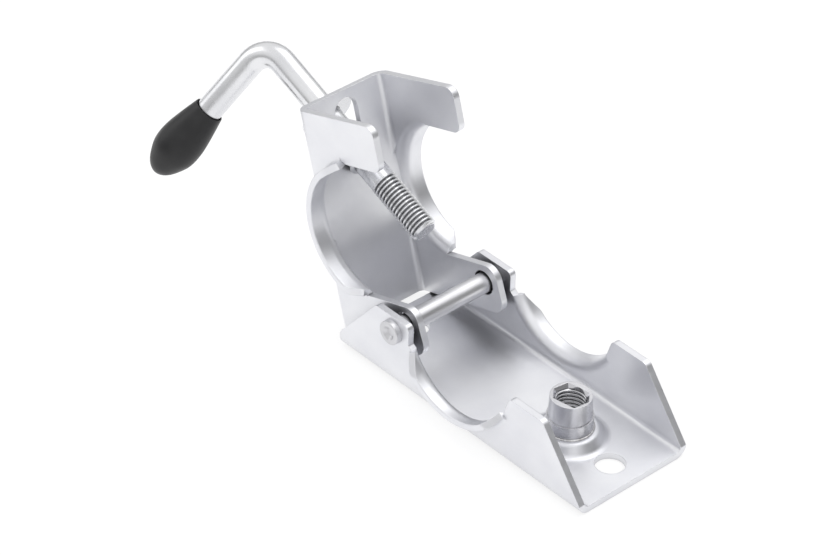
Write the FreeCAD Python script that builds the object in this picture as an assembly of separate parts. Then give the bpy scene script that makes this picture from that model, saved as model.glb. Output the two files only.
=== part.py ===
import FreeCAD, Part
import os
import math
from FreeCAD import Vector

# Hinged split tube clamp with a crank screw.
# Frame: X runs along the base from the hinge end (-X) to the screw end (+X),
# Y is the axis of the clamped tube, Z points up. The origin is the centre of
# the two bolt holes on the underside of the base. All lengths are in mm.

# Sheet and tube
SHEET = 2.5
TUBE_RADIUS = 24.0
TUBE_HEIGHT = 32.4
BEND_OUTER = 4.5
BEND_INNER = BEND_OUTER - SHEET
LIP_BEND_INNER = 1.6
LIP_BEND_OUTER = LIP_BEND_INNER + SHEET
LIP_PLATE_RADIUS = TUBE_RADIUS + SHEET + LIP_BEND_INNER + 0.1

# Base channel
BASE_LENGTH = 120.0
BASE_WIDTH = 50.0
BASE_HEIGHT = 28.5
BASE_EAR_TOP = (-41.7, -25.0)
BASE_TAB_TOP = (25.0, 40.8)
BASE_END_KNEE = 6.5
BASE_SLANT_FOOT = 3.9
BASE_LIP_HALF_ANGLE = 61.0
BASE_LIP_REACH = 4.4
BASE_LIP_FADE_RISE = 7.0
BASE_LIP_FADE_END = 0.6
BOLT_HOLE_RADIUS = 5.4
BOLT_SPACING = 98.0

# Pressed pad and threaded boss
BOSS_X = TUBE_RADIUS + 5.1
PAD_RISE = 4.0
PAD_TOP_RADIUS = 9.0
PAD_FOOT_RADIUS = 14.4
BOSS_FOOT_RADIUS = 8.15
BOSS_FOOT_HEIGHT = 5.0
BOSS_BARREL_RADIUS = 7.7
BOSS_RIM_RADIUS = 7.25
BOSS_HEIGHT = 13.1
BOSS_MOUTH_DEPTH = 2.6
# half of the mouth's corners as (angle, radius); the others are opposite
BOSS_MOUTH_CORNERS = ((17.0, 6.8), (62.0, 6.45), (144.0, 6.95))
PAD_HOLE_RADIUS = 5.7
WELD_WIDTH = 0.6
WELD_HEIGHT = 0.45

# Hinge pin
PIN_X = -32.6
PIN_Z = 22.9
PIN_RADIUS = 3.75
PIN_HEAD_RADIUS = 4.5
PIN_HEAD_LENGTH = 2.4
PIN_RIVET_RADIUS = 4.7
PIN_RIVET_LENGTH = 1.0
PIN_FIT = 0.05
EAR_HOLE_RADIUS = 4.6

# Jaw channel, drawn closed on the tube and then swung open
JAW_WIDTH = 39.0
JAW_TOP = 61.25
JAW_HINGE_EDGE = -43.5
JAW_END_TOP = 40.2
JAW_END_FOOT = 41.2
JAW_TAB_EDGE = TUBE_RADIUS + 0.25
JAW_TAB_RELIEF = 0.6
JAW_TAB_FOOT = 20.0
JAW_EAR_EDGE = -25.7
JAW_EAR_FOOT = 14.6
JAW_EAR_FOOT_RISE = 1.4
JAW_LIP_HALF_ANGLE = 71.5
JAW_LIP_REACH = 6.2
JAW_LIP_FADE_RISE = 5.0
JAW_LIP_FADE_END = 1.6
SLOT_START = 11.7
SLOT_END = 37.5
SLOT_WIDTH = 10.2
OPEN_ANGLE = 107.3

# Crank screw: its own axis is Z and the origin is the thrust washer's centre
SCREW_PIVOT_Z = 70.65
SCREW_TILT = 39.9
ROD_RADIUS = 4.82
TIP_DEPTH = 56.2
THREAD_LENGTH = 23.5
THREAD_PITCH = 1.5
THREAD_CREST = 4.97
THREAD_DEPTH = 0.85
THREAD_FIT = 0.06
NUT_THREAD_DEPTH = 0.6
THREAD_OVERSHOOT = 0.33
THREAD_MOUTH_HALF = 0.7
THREAD_ROOT_HALF = 0.08
THREAD_START_TURN = 97.0
TIP_CHAMFER = 1.0
ARM_HEIGHT = 34.6
CRANK_BEND = 9.5
ARM_TURN = 212.4
ARM_END = 54.0
STAKE_REACH = 6.1
STAKE_WIDTH = 2.6
STAKE_THICKNESS = 1.6
STAKE_GAP = 0.15
INNER_STAKE_REACH = 5.0

# Washers on the rod
THRUST_RADIUS = 10.0
THRUST_THICKNESS = 2.0
THRUST_FIT = 0.08
RETAINER_RADIUS = 6.25
RETAINER_THICKNESS = 1.5
RETAINER_DEPTH = 22.1
RETAINER_FIT = 0.06

# Egg-shaped grip: (distance past its mouth, radius)
GRIP_START = 33.4
GRIP_LENGTH = 31.4
GRIP_BULGE = ((0.0, 5.6), (3.6, 6.4), (8.3, 7.35), (12.3, 8.05), (15.9, 8.4),
              (18.7, 8.4), (21.3, 8.05), (24.8, 6.75), (28.1, 4.95), (30.4, 2.7))
GRIP_MOUTH_RADIUS = 5.25
GRIP_MOUTH_DEPTH = 1.6

X_AXIS = Vector(1, 0, 0)
Y_AXIS = Vector(0, 1, 0)
Z_AXIS = Vector(0, 0, 1)


def plane_point(plane, u, v):
    """Point (u, v) of one of the main planes through the origin."""
    if plane == "XZ":
        return Vector(u, 0, v)
    if plane == "YZ":
        return Vector(0, u, v)
    return Vector(u, v, 0)


def rounded_face(plane, corners):
    """Flat face through (u, v, radius) corners, each rounded by its radius."""
    points = [plane_point(plane, u, v) for u, v, radius in corners]
    edges = []
    last_end = None
    first_start = None
    for index, (u, v, radius) in enumerate(corners):
        corner = points[index]
        back = (points[index - 1] - corner).normalize()
        ahead = (points[(index + 1) % len(points)] - corner).normalize()
        start = corner
        end = corner
        if radius > 0:
            half = back.getAngle(ahead) / 2
            run = radius / math.tan(half)
            start = corner + back * run
            end = corner + ahead * run
            bisector = (back + ahead).normalize()
            middle = corner + bisector * (radius / math.sin(half) - radius)
        if last_end is None:
            first_start = start
        else:
            edges.append(Part.makeLine(last_end, start))
        if radius > 0:
            edges.append(Part.Arc(start, middle, end).toShape())
        last_end = end
    edges.append(Part.makeLine(last_end, first_start))
    return Part.Face(Part.Wire(edges))


def cylinder_y(radius, x, z, y_from, y_to):
    """Round bar along Y."""
    return Part.makeCylinder(radius, y_to - y_from, Vector(x, y_from, z), Y_AXIS)


def tube_wedge(radius, half_angle, width, upward):
    """Slice of a cylinder about the tube axis, centred straight up or down."""
    wedge = Part.makeCylinder(radius, width, Vector(0, -width / 2, 0), Y_AXIS, 2 * half_angle)
    # the slice starts at +Z and turns towards +X, so turn it back by half
    turn = -half_angle if upward else 180 - half_angle
    wedge.rotate(Vector(0, 0, 0), Y_AXIS, turn)
    wedge.translate(Vector(0, 0, TUBE_HEIGHT))
    return wedge


def saddle_lip(flange_outer, reach, half_angle, fade, upward, side):
    """Flared rim that bears on the tube, bent outward from one flange."""
    inner = flange_outer - SHEET
    tip = flange_outer + reach
    rim = TUBE_RADIUS
    back = TUBE_RADIUS + SHEET
    section = rounded_face("YZ", [
        (inner, LIP_PLATE_RADIUS, 0),
        (inner, rim, LIP_BEND_OUTER),
        (tip, rim, 0.5),
        (tip, back, 0.5),
        (flange_outer, back, LIP_BEND_INNER),
        (flange_outer, LIP_PLATE_RADIUS, 0),
    ])
    lip = section.revolve(Vector(0, 0, 0), Y_AXIS, 2 * half_angle)
    turn = -half_angle if upward else 180 - half_angle
    lip.rotate(Vector(0, 0, 0), Y_AXIS, turn)
    lip.translate(Vector(0, 0, TUBE_HEIGHT))
    lip = lip.common(lip_envelope(flange_outer, reach, half_angle, fade, upward))
    if side < 0:
        lip = lip.mirror(Vector(0, 0, 0), Y_AXIS)
    return lip


def lip_envelope(flange_outer, reach, half_angle, fade, upward):
    """Block seen along X that lets the flare fade out towards the lip's ends."""
    sign = 1 if upward else -1
    end = TUBE_RADIUS * math.cos(math.radians(half_angle)) - 3
    fade_rise, fade_end = fade
    full = end + 3 + fade_rise
    far = TUBE_RADIUS + 12
    inner = flange_outer - SHEET - 1
    outline = rounded_face("YZ", [
        (inner, TUBE_HEIGHT + sign * end, 0),
        (flange_outer + fade_end, TUBE_HEIGHT + sign * end, 0),
        (flange_outer + fade_end, TUBE_HEIGHT + sign * (end + 3.5), 3.0),
        (flange_outer + reach + 0.2, TUBE_HEIGHT + sign * full, 5.0),
        (flange_outer + reach + 0.2, TUBE_HEIGHT + sign * far, 0),
        (inner, TUBE_HEIGHT + sign * far, 0),
    ])
    outline.translate(Vector(-40, 0, 0))
    return outline.extrude(X_AXIS * 80)


def u_section(width, web_outer, flange_end, length_from, length_to):
    """Bent sheet channel along X; the web's outer face is at web_outer."""
    half = width / 2
    inward = SHEET if flange_end > web_outer else -SHEET
    web_inner = web_outer + inward
    section = rounded_face("YZ", [
        (-half, flange_end, 0),
        (-half, web_outer, BEND_OUTER),
        (half, web_outer, BEND_OUTER),
        (half, flange_end, 0),
        (half - SHEET, flange_end, 0),
        (half - SHEET, web_inner, BEND_INNER),
        (-half + SHEET, web_inner, BEND_INNER),
        (-half + SHEET, flange_end, 0),
    ])
    section.translate(Vector(length_from, 0, 0))
    return section.extrude(X_AXIS * (length_to - length_from))


def side_prism(corners, width):
    """Side outline in X and Z carried across the whole width."""
    face = rounded_face("XZ", corners)
    face.translate(Vector(0, -width / 2, 0))
    return face.extrude(Y_AXIS * width)


def base_side_outline():
    """Side view of the base: ear, saddle, tab and slanted ends."""
    half = BASE_LENGTH / 2
    angle = math.radians(BASE_LIP_HALF_ANGLE)
    lip_x = (TUBE_RADIUS + SHEET) * math.sin(angle)
    lip_z = TUBE_HEIGHT - (TUBE_RADIUS + SHEET) * math.cos(angle)
    return [
        (-half, -1.0, 0),
        (-half, BASE_END_KNEE, 3.0),
        (BASE_EAR_TOP[0], BASE_HEIGHT, 2.0),
        (BASE_EAR_TOP[1], BASE_HEIGHT, 2.0),
        (BASE_EAR_TOP[1], lip_z + 1.3, 0.6),
        (-lip_x, lip_z, 0),
        (0, lip_z + 4.0, 0),
        (lip_x, lip_z, 0),
        (lip_x - 0.6, lip_z + 1.3, 0.3),
        (BASE_TAB_TOP[0], BASE_HEIGHT, 2.0),
        (BASE_TAB_TOP[1], BASE_HEIGHT, 3.0),
        (half, BASE_SLANT_FOOT, 1.0),
        (half, -1.0, 0),
    ]


def pressed_dome(level, underside, top_radius, foot_radius):
    """Flat-topped dome that rises smoothly from a level sheet."""
    top = level + PAD_RISE
    run = foot_radius - top_radius
    flank = Part.BezierCurve()
    flank.setPoles([
        Vector(top_radius, 0, top),
        Vector(top_radius + 0.5 * run, 0, top),
        Vector(top_radius + 0.4 * run, 0, level),
        Vector(foot_radius, 0, level),
    ])
    outline = [
        Part.makeLine(Vector(0, 0, underside), Vector(0, 0, top)),
        Part.makeLine(Vector(0, 0, top), Vector(top_radius, 0, top)),
        flank.toShape(),
        Part.makeLine(Vector(foot_radius, 0, level), Vector(foot_radius, 0, underside)),
        Part.makeLine(Vector(foot_radius, 0, underside), Vector(0, 0, underside)),
    ]
    dome = Part.Face(Part.Wire(outline)).revolve(Vector(0, 0, 0), Z_AXIS, 360)
    dome.translate(Vector(BOSS_X, 0, 0))
    return dome


def make_base_channel():
    """Pressed steel channel that bolts down and carries the lower saddle."""
    half = BASE_LENGTH / 2
    channel = u_section(BASE_WIDTH, 0.0, BASE_HEIGHT + 2, -half, half)
    channel = channel.common(side_prism(base_side_outline(), BASE_WIDTH + 4))
    channel = channel.cut(tube_wedge(LIP_PLATE_RADIUS, BASE_LIP_HALF_ANGLE, BASE_WIDTH + 4, False))
    fade = (BASE_LIP_FADE_RISE, BASE_LIP_FADE_END)
    for side in (-1, 1):
        lip = saddle_lip(BASE_WIDTH / 2, BASE_LIP_REACH, BASE_LIP_HALF_ANGLE, fade, False, side)
        channel = channel.fuse(lip)
    channel = channel.fuse(pressed_dome(SHEET, SHEET - 0.5, PAD_TOP_RADIUS, PAD_FOOT_RADIUS))
    channel = channel.cut(pressed_dome(0.0, -0.5, PAD_TOP_RADIUS - 2.2, PAD_FOOT_RADIUS - 2.2))
    channel = channel.cut(Part.makeCylinder(PAD_HOLE_RADIUS, 20, Vector(BOSS_X, 0, -1)))
    for side in (-1, 1):
        hole = Part.makeCylinder(BOLT_HOLE_RADIUS, 10, Vector(side * BOLT_SPACING / 2, 0, -5))
        channel = channel.cut(hole)
    channel = channel.cut(cylinder_y(PIN_RADIUS + PIN_FIT, PIN_X, PIN_Z, -40, 40))
    return channel.removeSplitter()


def thread_cutter(radius, depth, length, inward):
    """Helical V groove cut into a round surface; inward for an outside thread."""
    sign = -1 if inward else 1
    mouth = radius - sign * THREAD_OVERSHOOT
    root = radius + sign * depth
    corners = [
        Vector(mouth, 0, -THREAD_MOUTH_HALF),
        Vector(root, 0, -THREAD_ROOT_HALF),
        Vector(root, 0, THREAD_ROOT_HALF),
        Vector(mouth, 0, THREAD_MOUTH_HALF),
    ]
    profile = Part.makePolygon(corners + [corners[0]])
    helix = Part.Wire(Part.makeHelix(THREAD_PITCH, length, radius))
    groove = helix.makePipeShell([profile], True, True)
    # turned so that it doesn't start on the seam of the surface it cuts
    groove.rotate(Vector(0, 0, 0), Z_AXIS, THREAD_START_TURN)
    return groove


def cut_thread(blank, grooves, radius, depth, length):
    """Cut the groove, and stop if it took away far less than a thread should."""
    cut = blank.cut(grooves)
    section = (THREAD_MOUTH_HALF + THREAD_ROOT_HALF) * depth
    expected = section * 2 * math.pi * radius * length / THREAD_PITCH
    removed = blank.Volume - cut.Volume
    if removed < 0.5 * expected:
        raise ValueError("the thread groove did not cut its blank")
    return cut


def make_threaded_boss():
    """Round steel boss with a threaded bore and a six-cornered lead-in."""
    foot_z = SHEET + PAD_RISE
    foot = Part.makeCylinder(BOSS_FOOT_RADIUS, BOSS_FOOT_HEIGHT, Vector(BOSS_X, 0, foot_z))
    barrel_height = BOSS_HEIGHT - BOSS_FOOT_HEIGHT
    barrel = Part.makeCone(BOSS_BARREL_RADIUS, BOSS_RIM_RADIUS, barrel_height,
                           Vector(BOSS_X, 0, foot_z + BOSS_FOOT_HEIGHT))
    boss = foot.fuse(barrel)
    bore_radius = THREAD_CREST + THREAD_FIT
    bore = Part.makeCylinder(bore_radius, BOSS_HEIGHT + 2, Vector(BOSS_X, 0, foot_z - 1))
    boss = boss.cut(bore)
    grooves = thread_cutter(bore_radius, NUT_THREAD_DEPTH, BOSS_HEIGHT + THREAD_PITCH, False)
    grooves.translate(Vector(BOSS_X, 0, foot_z - 1.5 * THREAD_PITCH))
    boss = cut_thread(boss, grooves, bore_radius, NUT_THREAD_DEPTH, BOSS_HEIGHT)
    mouth = mouth_outline(1.0, 0.0)
    throat = mouth_outline(0.68, -BOSS_MOUTH_DEPTH)
    lead_in = Part.makeLoft([throat, mouth], True)
    lead_in.translate(Vector(BOSS_X, 0, foot_z + BOSS_HEIGHT))
    return boss.cut(lead_in)


def mouth_outline(scale, z):
    """Six-cornered wire of the boss's mouth at height z, scaled about Z."""
    points = []
    for half_turn in (0, 180):
        for angle, radius in BOSS_MOUTH_CORNERS:
            turned = math.radians(angle + half_turn)
            reach = scale * radius
            points.append(Vector(reach * math.cos(turned), reach * math.sin(turned), z))
    return Part.makePolygon(points + [points[0]])


def make_boss_weld():
    """Ring of weld that joins the boss's foot to the pressed pad."""
    z = SHEET + PAD_RISE
    inner = BOSS_FOOT_RADIUS
    section = Part.Face(Part.Wire([
        Part.makeLine(Vector(inner, 0, z), Vector(inner + WELD_WIDTH, 0, z)),
        Part.Arc(Vector(inner + WELD_WIDTH, 0, z),
                 Vector(inner + WELD_WIDTH * 0.62, 0, z + WELD_HEIGHT * 0.62),
                 Vector(inner, 0, z + WELD_HEIGHT)).toShape(),
        Part.makeLine(Vector(inner, 0, z + WELD_HEIGHT), Vector(inner, 0, z)),
    ]))
    weld = section.revolve(Vector(0, 0, 0), Z_AXIS, 360)
    weld.translate(Vector(BOSS_X, 0, 0))
    return weld


def make_hinge_pin():
    """One-piece pin through both base ears: a dimpled head and a riveted end."""
    face = BASE_WIDTH / 2
    pin = cylinder_y(PIN_RADIUS, PIN_X, PIN_Z, -face, face)
    for side, radius, length, dimple in (
        (-1, PIN_HEAD_RADIUS, PIN_HEAD_LENGTH, 1.1),
        (1, PIN_RIVET_RADIUS, PIN_RIVET_LENGTH, 0.5),
    ):
        head = Part.makeCylinder(radius, length)
        rim = [edge for edge in head.Edges if abs(edge.CenterOfMass.z - length) < 0.01]
        head = head.makeFillet(0.45, rim)
        head = head.cut(Part.makeCone(1.4, 2.7, dimple, Vector(0, 0, length - dimple)))
        head.rotate(Vector(0, 0, 0), X_AXIS, -90 * side)
        head.translate(Vector(PIN_X, side * face, PIN_Z))
        pin = pin.fuse(head)
    return pin.removeSplitter()


def jaw_side_outline():
    """Side view of the closed jaw: ear, saddle and tab."""
    angle = math.radians(JAW_LIP_HALF_ANGLE)
    slope = 1 / math.tan(angle)
    relief_x = JAW_TAB_EDGE + JAW_TAB_RELIEF
    return [
        (JAW_HINGE_EDGE, JAW_TOP + 1, 0),
        (JAW_END_TOP, JAW_TOP + 1, 0),
        (JAW_END_FOOT, JAW_TAB_FOOT, 4.0),
        (JAW_TAB_EDGE, JAW_TAB_FOOT, 3.5),
        (JAW_TAB_EDGE, TUBE_HEIGHT + 6.2, 0.4),
        (relief_x, TUBE_HEIGHT + 7.0, 0.3),
        (relief_x, TUBE_HEIGHT + relief_x * slope, 0),
        (0, TUBE_HEIGHT + 16, 0),
        (JAW_EAR_EDGE, TUBE_HEIGHT - JAW_EAR_EDGE * slope, 0),
        (JAW_EAR_EDGE, JAW_EAR_FOOT + JAW_EAR_FOOT_RISE, 5.5),
        (JAW_HINGE_EDGE, JAW_EAR_FOOT, 5.0),
    ]


def make_jaw_channel():
    """Swinging channel with the upper saddle, in its closed position."""
    jaw = u_section(JAW_WIDTH, JAW_TOP, JAW_EAR_FOOT - 2, JAW_HINGE_EDGE - 2, JAW_END_FOOT + 2)
    jaw = jaw.common(side_prism(jaw_side_outline(), JAW_WIDTH + 4))
    opening = tube_wedge(LIP_PLATE_RADIUS, JAW_LIP_HALF_ANGLE, JAW_WIDTH + 4, True)
    # the opening is cut from the flanges only: it stops at the web's inner face
    web_inner = JAW_TOP - SHEET
    width = JAW_WIDTH + 6
    opening = opening.cut(Part.makeBox(100, width, 20, Vector(-50, -width / 2, web_inner)))
    jaw = jaw.cut(opening)
    fade = (JAW_LIP_FADE_RISE, JAW_LIP_FADE_END)
    for side in (-1, 1):
        lip = saddle_lip(JAW_WIDTH / 2, JAW_LIP_REACH, JAW_LIP_HALF_ANGLE, fade, True, side)
        jaw = jaw.fuse(lip)
    jaw = jaw.cut(web_slot())
    jaw = jaw.cut(cylinder_y(EAR_HOLE_RADIUS, PIN_X, PIN_Z, -30, 30))
    return jaw.removeSplitter()


def web_slot():
    """Round-ended slot in the jaw's web for the screw."""
    half = SLOT_WIDTH / 2
    low = JAW_TOP - SHEET - 3
    height = SHEET + 6
    slot = Part.makeBox(SLOT_END - SLOT_START - SLOT_WIDTH, SLOT_WIDTH, height,
                        Vector(SLOT_START + half, -half, low))
    for x in (SLOT_START + half, SLOT_END - half):
        slot = slot.fuse(Part.makeCylinder(half, height, Vector(x, 0, low)))
    return slot


def swing_open(shape):
    """Turn a closed jaw part about the hinge pin to the open position."""
    shape.rotate(Vector(PIN_X, 0, PIN_Z), Y_AXIS, -OPEN_ANGLE)
    return shape


def place_screw(shape):
    """Carry a screw part from its own frame to the open jaw."""
    shape.rotate(Vector(0, 0, 0), Y_AXIS, SCREW_TILT)
    shape.translate(Vector(BOSS_X, 0, SCREW_PIVOT_Z))
    return swing_open(shape)


def make_screw_thread():
    """Threaded end of the rod, standing on its chamfered tip."""
    blank = Part.makeCylinder(THREAD_CREST, THREAD_LENGTH)
    grooves = thread_cutter(THREAD_CREST, THREAD_DEPTH, THREAD_LENGTH + THREAD_PITCH, True)
    grooves.translate(Vector(0, 0, -THREAD_PITCH))
    thread = cut_thread(blank, grooves, THREAD_CREST, THREAD_DEPTH, THREAD_LENGTH)
    tip = Part.makeCone(THREAD_CREST - TIP_CHAMFER, THREAD_CREST + THREAD_LENGTH,
                        THREAD_LENGTH + TIP_CHAMFER)
    return thread.common(tip)


def make_crank_screw():
    """Round rod with a thread at the tip, bent square for the crank arm."""
    thread_top = -TIP_DEPTH + THREAD_LENGTH
    thread = make_screw_thread()
    thread.translate(Vector(0, 0, -TIP_DEPTH))
    bend_z = ARM_HEIGHT - CRANK_BEND
    rod = Part.makeCylinder(ROD_RADIUS, bend_z - thread_top, Vector(0, 0, thread_top))
    elbow = Part.Face(Part.Wire(Part.makeCircle(ROD_RADIUS, Vector(0, 0, bend_z), Z_AXIS)))
    elbow = elbow.revolve(Vector(CRANK_BEND, 0, bend_z), Y_AXIS, 90)
    arm = Part.makeCylinder(ROD_RADIUS, ARM_END - CRANK_BEND, Vector(CRANK_BEND, 0, ARM_HEIGHT), X_AXIS)
    crank = thread.fuse([rod, elbow, arm])
    for reach, z_from in (
        (STAKE_REACH, THRUST_THICKNESS / 2 + STAKE_GAP),
        (INNER_STAKE_REACH, -THRUST_THICKNESS / 2 - STAKE_GAP - STAKE_THICKNESS),
    ):
        stake = Part.makeBox(STAKE_WIDTH, 2 * reach, STAKE_THICKNESS,
                             Vector(-STAKE_WIDTH / 2, -reach, z_from))
        crank = crank.fuse(stake)
    crank.rotate(Vector(0, 0, 0), Z_AXIS, ARM_TURN)
    return crank


def make_crank_grip():
    """Egg-shaped plastic grip over the end of the crank arm."""
    points = [Vector(distance, 0, radius) for distance, radius in GRIP_BULGE]
    curve = Part.BSplineCurve()
    end = Vector(GRIP_LENGTH, 0, 0)
    curve.interpolate(points + [end])
    start = Vector(0, 0, 0)
    outline = [
        curve.toShape(),
        Part.makeLine(end, start),
        Part.makeLine(start, points[0]),
    ]
    grip = Part.Face(Part.Wire(outline)).revolve(start, X_AXIS, 360)
    socket = Part.makeCylinder(ROD_RADIUS, ARM_END - GRIP_START + 1, Vector(-1, 0, 0), X_AXIS)
    grip = grip.cut(socket)
    mouth = Part.makeCone(GRIP_MOUTH_RADIUS, ROD_RADIUS, GRIP_MOUTH_DEPTH, Vector(0, 0, 0), X_AXIS)
    grip = grip.cut(mouth)
    grip.translate(Vector(GRIP_START, 0, ARM_HEIGHT))
    grip.rotate(Vector(0, 0, 0), Z_AXIS, ARM_TURN)
    return grip


def make_washer(radius, thickness, bore, z, edge):
    """Flat ring centred at height z on the screw axis, with its rims broken."""
    ring = Part.makeCylinder(radius, thickness, Vector(0, 0, z - thickness / 2))
    ring = ring.makeFillet(edge, [e for e in ring.Edges if isinstance(e.Curve, Part.Circle)])
    return ring.cut(Part.makeCylinder(bore, thickness + 2, Vector(0, 0, z - thickness / 2 - 1)))


def main():
    """Build every piece in place and write one STEP file for each."""
    pieces = {
        "base_channel": make_base_channel(),
        "threaded_boss": make_threaded_boss(),
        "boss_weld": make_boss_weld(),
        "hinge_pin": make_hinge_pin(),
        "jaw_channel": swing_open(make_jaw_channel()),
        "retaining_washer": place_screw(make_washer(
            RETAINER_RADIUS, RETAINER_THICKNESS, ROD_RADIUS + RETAINER_FIT, -RETAINER_DEPTH, 0.3)),
        "thrust_washer": place_screw(make_washer(
            THRUST_RADIUS, THRUST_THICKNESS, ROD_RADIUS + THRUST_FIT, 0.0, 0.35)),
        "crank_screw": place_screw(make_crank_screw()),
        "crank_grip": place_screw(make_crank_grip()),
    }
    os.makedirs("parts", exist_ok=True)
    for name, shape in pieces.items():
        print(name, "solids", len(shape.Solids), "valid", shape.isValid(), "volume", round(shape.Volume, 1))
        shape.exportStep("parts/" + name + ".step")


main()
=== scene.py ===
import math
import bpy
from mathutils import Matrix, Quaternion, Vector

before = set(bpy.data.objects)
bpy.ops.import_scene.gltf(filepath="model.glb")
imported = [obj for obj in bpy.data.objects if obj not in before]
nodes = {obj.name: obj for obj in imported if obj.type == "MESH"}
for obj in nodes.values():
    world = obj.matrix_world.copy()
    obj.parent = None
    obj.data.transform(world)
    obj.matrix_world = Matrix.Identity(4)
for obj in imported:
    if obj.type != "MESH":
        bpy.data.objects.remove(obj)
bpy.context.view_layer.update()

# Camera
CAMERA_PLACE = Vector((0.6886, -0.6851, 0.7856))
CAMERA_AIM = Vector((-0.0358, -0.0119, 0.0374))
CAMERA_ROLL = math.radians(1.54)
CAMERA_LENS = 157.3
SENSOR_WIDTH = 36.0

# Zinc plating
ROD_TURN = math.radians(-67.4)
ZINC_LIGHT = (0.85, 0.855, 0.88, 1)
ZINC_DARK = (0.77, 0.775, 0.81, 1)
ROD_LIGHT = (0.84, 0.845, 0.86, 1)
ROD_DARK = (0.72, 0.725, 0.75, 1)
PIN_LIGHT = (0.78, 0.78, 0.80, 1)
PIN_DARK = (0.60, 0.60, 0.62, 1)
BOSS_LIGHT = (0.80, 0.80, 0.83, 1)
BOSS_DARK = (0.62, 0.62, 0.65, 1)
# painted shade: near-black colour laid into the narrow gaps
PAINTED_GAP_SHADE = (0.03, 0.03, 0.035, 1)
WELD_LIGHT = (0.78, 0.78, 0.79, 1)
WELD_DARK = (0.50, 0.49, 0.49, 1)
# reach and lift of the painted soft shade towards the folds
PAINTED_FOLD_SHADE_REACH = 0.022
PAINTED_FOLD_SHADE_LIFT = 0.84

# Grip plastic
GRIP_BLACK = (0.006, 0.006, 0.007, 1)
GRIP_WORN = (0.016, 0.016, 0.017, 1)

# Studio
FLOOR_SIZE = 6.0
FLOOR_COLOR = (0.24, 0.24, 0.24, 1)
FLOOR_COLOR_FAR = (0.22, 0.22, 0.225, 1)
FLOOR_GLOW = 0.82
DARK_SIDE = (0.72, 0.54, 0.43)
DARK_SIDE_GREY = 0.24
DARK_SIDE_START = 0.72
DARK_SIDE_END = 0.93
SKY_GREYS = ((0.0, 0.30), (0.12, 0.42), (0.38, 0.84), (1.0, 0.94))

# Lights: name, place, aim, size in metres, power in watts
LIGHTS = (
    ("key", (0.1, 0.6, 1.35), (0, 0, 0.03), (1.6, 1.3), 6.0),
    ("front", (0.9, -1.0, 0.9), (0, 0, 0.03), (2.0, 1.8), 2.2),
    ("side", (-1.1, -0.6, 0.6), (-0.03, 0, 0.04), (0.7, 0.9), 1.5),
)


def new_material(name):
    """Empty node material with its output and one principled shader."""
    material = bpy.data.materials.new(name)
    material.use_nodes = True
    tree = material.node_tree
    tree.nodes.clear()
    output = tree.nodes.new("ShaderNodeOutputMaterial")
    shader = tree.nodes.new("ShaderNodeBsdfPrincipled")
    tree.links.new(shader.outputs["BSDF"], output.inputs["Surface"])
    return material, tree, shader


def object_noise(tree, scale, detail=3.0, stretch=(1, 1, 1), turn=(0, 0, 0)):
    """Noise in the object's own coordinates, stretched along a grain."""
    place = tree.nodes.new("ShaderNodeTexCoord")
    mapping = tree.nodes.new("ShaderNodeMapping")
    mapping.inputs["Rotation"].default_value = turn
    mapping.inputs["Scale"].default_value = stretch
    noise = tree.nodes.new("ShaderNodeTexNoise")
    noise.inputs["Scale"].default_value = scale
    noise.inputs["Detail"].default_value = detail
    tree.links.new(place.outputs["Object"], mapping.inputs["Vector"])
    tree.links.new(mapping.outputs["Vector"], noise.inputs["Vector"])
    return noise.outputs["Fac"]


def value_range(tree, source, low, high, start=0.3, end=0.7):
    """Spread a noise value over the range low to high."""
    node = tree.nodes.new("ShaderNodeMapRange")
    node.inputs["From Min"].default_value = start
    node.inputs["From Max"].default_value = end
    node.inputs["To Min"].default_value = low
    node.inputs["To Max"].default_value = high
    tree.links.new(source, node.inputs["Value"])
    return node.outputs["Result"]


def color_between(tree, factor, first, second):
    """Blend two colours by a factor."""
    mix = tree.nodes.new("ShaderNodeMix")
    mix.data_type = "RGBA"
    mix.inputs[6].default_value = first
    mix.inputs[7].default_value = second
    tree.links.new(factor, mix.inputs[0])
    return mix.outputs[2]


def add_values(tree, first, second):
    """Sum of two values."""
    node = tree.nodes.new("ShaderNodeMath")
    node.operation = "ADD"
    tree.links.new(first, node.inputs[0])
    tree.links.new(second, node.inputs[1])
    return node.outputs[0]


def bumps(tree, shader, layers, edge_radius):
    """Chain bump layers of (height, strength, depth) over a softened edge."""
    edge = tree.nodes.new("ShaderNodeBevel")
    edge.samples = 6
    edge.inputs["Radius"].default_value = edge_radius
    normal = edge.outputs["Normal"]
    for height, strength, depth in layers:
        bump = tree.nodes.new("ShaderNodeBump")
        bump.inputs["Strength"].default_value = strength
        bump.inputs["Distance"].default_value = depth
        tree.links.new(height, bump.inputs["Height"])
        tree.links.new(normal, bump.inputs["Normal"])
        normal = bump.outputs["Normal"]
    tree.links.new(normal, shader.inputs["Normal"])


def paint_hollow_shade(tree, color, reach, closed, open_level, lift=0.0):
    """Paint shade into a colour where other surfaces close in within reach."""
    hollow = tree.nodes.new("ShaderNodeAmbientOcclusion")
    hollow.samples = 8
    hollow.inputs["Distance"].default_value = reach
    level = value_range(tree, hollow.outputs["AO"], lift, 1.0, closed, open_level)
    mix = tree.nodes.new("ShaderNodeMix")
    mix.data_type = "RGBA"
    mix.inputs[6].default_value = PAINTED_GAP_SHADE
    tree.links.new(level, mix.inputs[0])
    tree.links.new(color, mix.inputs[7])
    return mix.outputs[2]


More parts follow.
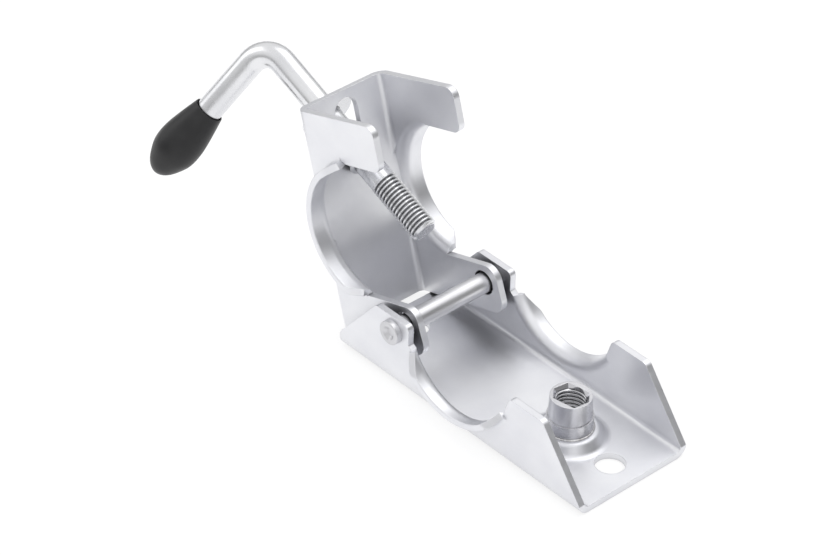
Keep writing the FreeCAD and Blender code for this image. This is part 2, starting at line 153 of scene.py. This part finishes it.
def plated_steel(name, light, dark, rough, spread, grain, turn=(0, 0, 0), edge=0.00035,
                 painted_gap_open=0.55, painted_gap_reach=0.0045):
    """Bright zinc over steel: cloudy tone, directional grain, fine crystals, with painted shade in the
    folds and gaps.
    """
    material, tree, shader = new_material(name)
    clouds = object_noise(tree, 45.0, 4.0)
    grain_lines = object_noise(tree, 420.0, 3.0, grain, turn)
    crystals = object_noise(tree, 2600.0, 2.0)
    waves = object_noise(tree, 75.0, 1.5)
    tone = value_range(tree, clouds, 0.0, 1.0, 0.32, 0.68)
    shader.inputs["Metallic"].default_value = 1.0
    color = color_between(tree, tone, light, dark)
    # painted soft shade towards the folds, then painted near-black shade in the narrow gaps
    color = paint_hollow_shade(tree, color, PAINTED_FOLD_SHADE_REACH, 0.15, 0.75, PAINTED_FOLD_SHADE_LIFT)
    color = paint_hollow_shade(tree, color, painted_gap_reach, 0.10, painted_gap_open)
    tree.links.new(color, shader.inputs["Base Color"])
    rough_clouds = value_range(tree, clouds, rough - spread, rough + spread)
    rough_grain = value_range(tree, grain_lines, -spread, spread)
    tree.links.new(add_values(tree, rough_clouds, rough_grain), shader.inputs["Roughness"])
    bumps(tree, shader, [
        (waves, 0.06, 0.0005),
        (grain_lines, 0.06, 0.00005),
        (crystals, 0.08, 0.00003),
    ], edge)
    return material


def weld_metal():
    """Rippled weld bead under the plating."""
    material, tree, shader = new_material("weld_bead")
    ripples = object_noise(tree, 900.0, 3.0)
    lumps = object_noise(tree, 320.0, 2.0)
    shader.inputs["Metallic"].default_value = 1.0
    tone = value_range(tree, ripples, 0.0, 1.0)
    tree.links.new(color_between(tree, tone, WELD_LIGHT, WELD_DARK), shader.inputs["Base Color"])
    tree.links.new(value_range(tree, lumps, 0.25, 0.5), shader.inputs["Roughness"])
    bumps(tree, shader, [(lumps, 0.7, 0.0004), (ripples, 0.5, 0.0001)], 0.0003)
    return material


def grip_plastic():
    """Black moulded plastic with a fine grain and scuffed gloss."""
    material, tree, shader = new_material("black_grip")
    grain = object_noise(tree, 1500.0, 3.0)
    scuffs = object_noise(tree, 140.0, 5.0)
    tone = value_range(tree, scuffs, 0.0, 1.0)
    tree.links.new(color_between(tree, tone, GRIP_BLACK, GRIP_WORN), shader.inputs["Base Color"])
    tree.links.new(value_range(tree, scuffs, 0.34, 0.5), shader.inputs["Roughness"])
    shader.inputs["Specular IOR Level"].default_value = 0.42
    bumps(tree, shader, [(grain, 0.35, 0.00008), (scuffs, 0.1, 0.0003)], 0.0004)
    return material


def dress(node_name, material):
    """Give a CAD node its material."""
    for slot in nodes[node_name].material_slots:
        slot.material = material


def area_light(name, place, aim, size, power):
    """Soft rectangular light aimed at a point."""
    data = bpy.data.lights.new(name, "AREA")
    data.shape = "RECTANGLE"
    data.size = size[0]
    data.size_y = size[1]
    data.energy = power
    light = bpy.data.objects.new(name, data)
    light.location = place
    light.rotation_euler = (Vector(aim) - Vector(place)).to_track_quat("-Z", "Y").to_euler()
    bpy.context.scene.collection.objects.link(light)


def studio_world():
    """Pale surround, dimmer at the horizon and on one side, for the plating to show."""
    world = bpy.data.worlds.new("studio")
    bpy.context.scene.world = world
    world.use_nodes = True
    tree = world.node_tree
    tree.nodes.clear()
    output = tree.nodes.new("ShaderNodeOutputWorld")
    background = tree.nodes.new("ShaderNodeBackground")
    place = tree.nodes.new("ShaderNodeTexCoord")
    split = tree.nodes.new("ShaderNodeSeparateXYZ")
    ramp = tree.nodes.new("ShaderNodeValToRGB")
    ramp.color_ramp.elements[0].position = SKY_GREYS[0][0]
    ramp.color_ramp.elements[0].color = (SKY_GREYS[0][1],) * 3 + (1,)
    ramp.color_ramp.elements[1].position = SKY_GREYS[-1][0]
    ramp.color_ramp.elements[1].color = (SKY_GREYS[-1][1],) * 3 + (1,)
    for position, grey in SKY_GREYS[1:-1]:
        element = ramp.color_ramp.elements.new(position)
        element.color = (grey, grey, grey, 1)
    tree.links.new(place.outputs["Generated"], split.inputs[0])
    tree.links.new(split.outputs["Z"], ramp.inputs["Fac"])
    # one side of the studio is left unlit
    towards = tree.nodes.new("ShaderNodeVectorMath")
    towards.operation = "DOT_PRODUCT"
    towards.inputs[1].default_value = DARK_SIDE
    tree.links.new(place.outputs["Generated"], towards.inputs[0])
    dark_side = value_range(tree, towards.outputs["Value"], 0.0, 1.0, DARK_SIDE_START, DARK_SIDE_END)
    mix = tree.nodes.new("ShaderNodeMix")
    mix.data_type = "RGBA"
    mix.inputs[7].default_value = (DARK_SIDE_GREY, DARK_SIDE_GREY, DARK_SIDE_GREY, 1)
    tree.links.new(dark_side, mix.inputs[0])
    tree.links.new(ramp.outputs["Color"], mix.inputs[6])
    tree.links.new(mix.outputs[2], background.inputs["Color"])
    background.inputs["Strength"].default_value = 1.0
    tree.links.new(background.outputs["Background"], output.inputs["Surface"])


def studio_floor():
    """Plain pale floor under the base."""
    bpy.ops.mesh.primitive_plane_add(size=FLOOR_SIZE, location=(0, 0, -0.0002))
    floor = bpy.context.object
    floor.name = "floor"
    material, tree, shader = new_material("pale_floor")
    tone = value_range(tree, object_noise(tree, 3.0, 2.0), 0.0, 1.0)
    tree.links.new(color_between(tree, tone, FLOOR_COLOR, FLOOR_COLOR_FAR), shader.inputs["Base Color"])
    tree.links.new(value_range(tree, object_noise(tree, 60.0, 2.0), 0.75, 0.9), shader.inputs["Roughness"])
    shader.inputs["Specular IOR Level"].default_value = 0.1
    shader.inputs["Emission Color"].default_value = (1, 1, 1, 1)
    shader.inputs["Emission Strength"].default_value = FLOOR_GLOW
    floor.data.materials.append(material)


def place_camera():
    """Fixed camera, three-quarter view from above."""
    data = bpy.data.cameras.new("view")
    data.lens = CAMERA_LENS
    data.sensor_width = SENSOR_WIDTH
    data.sensor_fit = "HORIZONTAL"
    data.clip_end = 20.0
    camera = bpy.data.objects.new("view", data)
    look = (CAMERA_AIM - CAMERA_PLACE).to_track_quat("-Z", "Y")
    camera.rotation_mode = "QUATERNION"
    camera.rotation_quaternion = look @ Quaternion((0, 0, 1), CAMERA_ROLL)
    camera.location = CAMERA_PLACE
    bpy.context.scene.collection.objects.link(camera)
    bpy.context.scene.camera = camera


# each plated finish paints shade into its folds and narrow gaps
sheet = plated_steel("zinc_sheet", ZINC_LIGHT, ZINC_DARK, 0.40, 0.03, (0.12, 1, 1))
rod = plated_steel("zinc_rod", ROD_LIGHT, ROD_DARK, 0.26, 0.03, (1, 1, 0.2),
                   turn=(0, ROD_TURN, 0), edge=0.0002, painted_gap_open=0.86)
turned = plated_steel("zinc_turned", ROD_LIGHT, ROD_DARK, 0.28, 0.03, (1, 1, 4), edge=0.00025)
boss = plated_steel("zinc_boss", BOSS_LIGHT, BOSS_DARK, 0.24, 0.03, (1, 1, 4),
                    edge=0.00025, painted_gap_open=0.66, painted_gap_reach=0.010)
pin = plated_steel("zinc_pin", PIN_LIGHT, PIN_DARK, 0.38, 0.06, (1, 0.2, 1), edge=0.0002)
weld = weld_metal()
plastic = grip_plastic()

finishes = {
    "base_channel": sheet,
    "jaw_channel": sheet,
    "threaded_boss": boss,
    "boss_weld": weld,
    "hinge_pin": pin,
    "retaining_washer": turned,
    "thrust_washer": turned,
    "crank_screw": rod,
    "crank_grip": plastic,
}
for node_name, material in finishes.items():
    dress(node_name, material)

studio_world()
studio_floor()
for light in LIGHTS:
    area_light(*light)
place_camera()
bpy.context.scene.view_settings.view_transform = "Standard"
